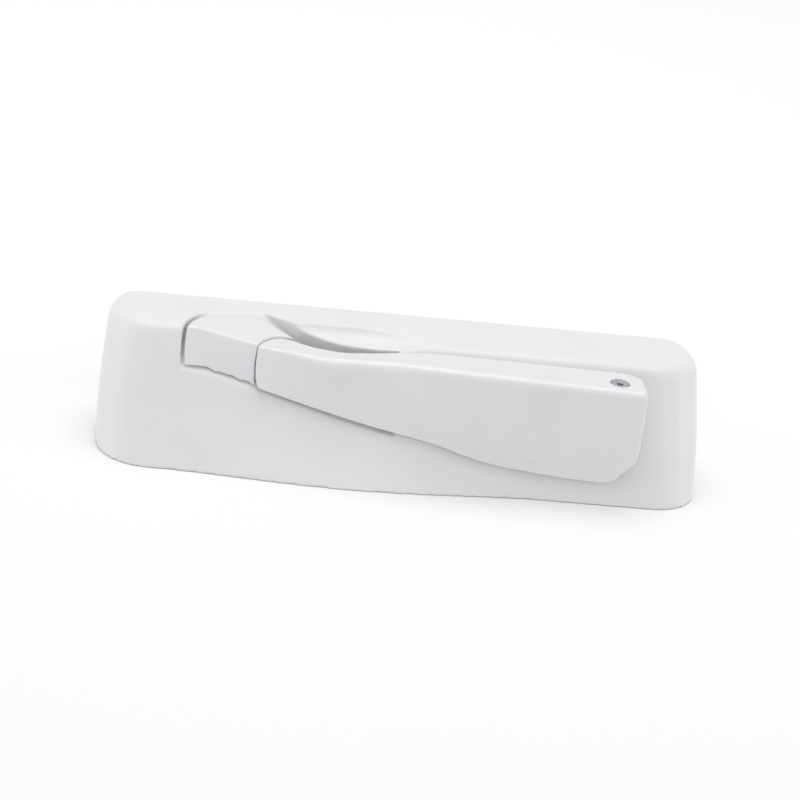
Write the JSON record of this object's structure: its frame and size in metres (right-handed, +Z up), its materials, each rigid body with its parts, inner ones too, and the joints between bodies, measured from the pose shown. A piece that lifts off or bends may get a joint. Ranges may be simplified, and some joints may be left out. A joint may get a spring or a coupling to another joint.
{
  "type": "casement window operator",
  "caption": "Casement window operator: white moulded cover with a folding crank handle nested in it, worm and sector drive, and a cranked sash arm.",
  "frame": {"origin": "on the sill face, at the middle of the cover's length and of its depth at the sill", "axes": "+X along the cover towards the hub end, -Y towards the room, +Z up from the sill"},
  "size_m": [0.1608, 0.0586, 0.032],
  "materials": {
    "white_plastic": "satin moulded",
    "white_enamel": "satin enamel on die-cast zinc",
    "zinc": "die-cast zinc, plain",
    "steel": "zinc-plated",
    "rubber": "matte",
    "nylon": "natural nylon",
    "bronze": "sintered bronze"
  },
  "bodies": {
    "operator": {"cover": "white_plastic", "stud_seal": "rubber", "operator_base": "zinc", "gear_plate": "steel", "plate_screw_left": "steel", "plate_screw_right": "steel", "cover_clip_left": "steel", "cover_clip_right": "steel", "front_bushing": "bronze", "rear_bushing": "bronze", "pivot_post": "steel"},
    "crank": {"worm_shaft": "steel", "shaft_clip": "steel", "handle_hub": "zinc", "hub_set_screw": "steel", "hinge_pin": "steel"},
    "handle": {"handle_arm": "white_enamel", "knob_pin": "steel"},
    "knob": {"handle_knob": "white_enamel"},
    "sash_arm": {"sector_gear": "steel", "sash_arm": "steel", "arm_rivet_left": "steel", "arm_rivet_right": "steel", "roller_rivet": "steel"},
    "roller": {"arm_roller": "nylon"}
  },
  "joints": [
    {"name": "crank_spin", "type": "hinge", "parent": "operator", "child": "crank", "pos_m": [0.0474, -0.00863, 0.019], "axis": [0, -0.848, 0.53], "range_deg": [-270, 0]},
    {"name": "handle_fold", "type": "hinge", "parent": "crank", "child": "handle", "pos_m": [0.055, -0.0091, 0.026], "axis": [0, 0, 1], "range_deg": [0, 30]},
    {"name": "knob_flip", "type": "hinge", "parent": "handle", "child": "knob", "pos_m": [-0.0311, -0.00519, 0.025], "axis": [0, 0, 1], "range_deg": [0, 90]},
    {"name": "sash_swing", "type": "hinge", "parent": "operator", "child": "sash_arm", "pos_m": [0.027, 0.00325, 0.0116], "axis": [0, 0, -1], "range_deg": [0, 60]},
    {"name": "roller_spin", "type": "hinge", "parent": "sash_arm", "child": "roller", "pos_m": [-0.062, 0.028, 0.0106], "axis": [0, 0, 1], "continuous": true}
  ],
  "couplings": [
    {"joint": "sash_swing", "follows": "crank_spin", "ratio": -0.027778}
  ]
}
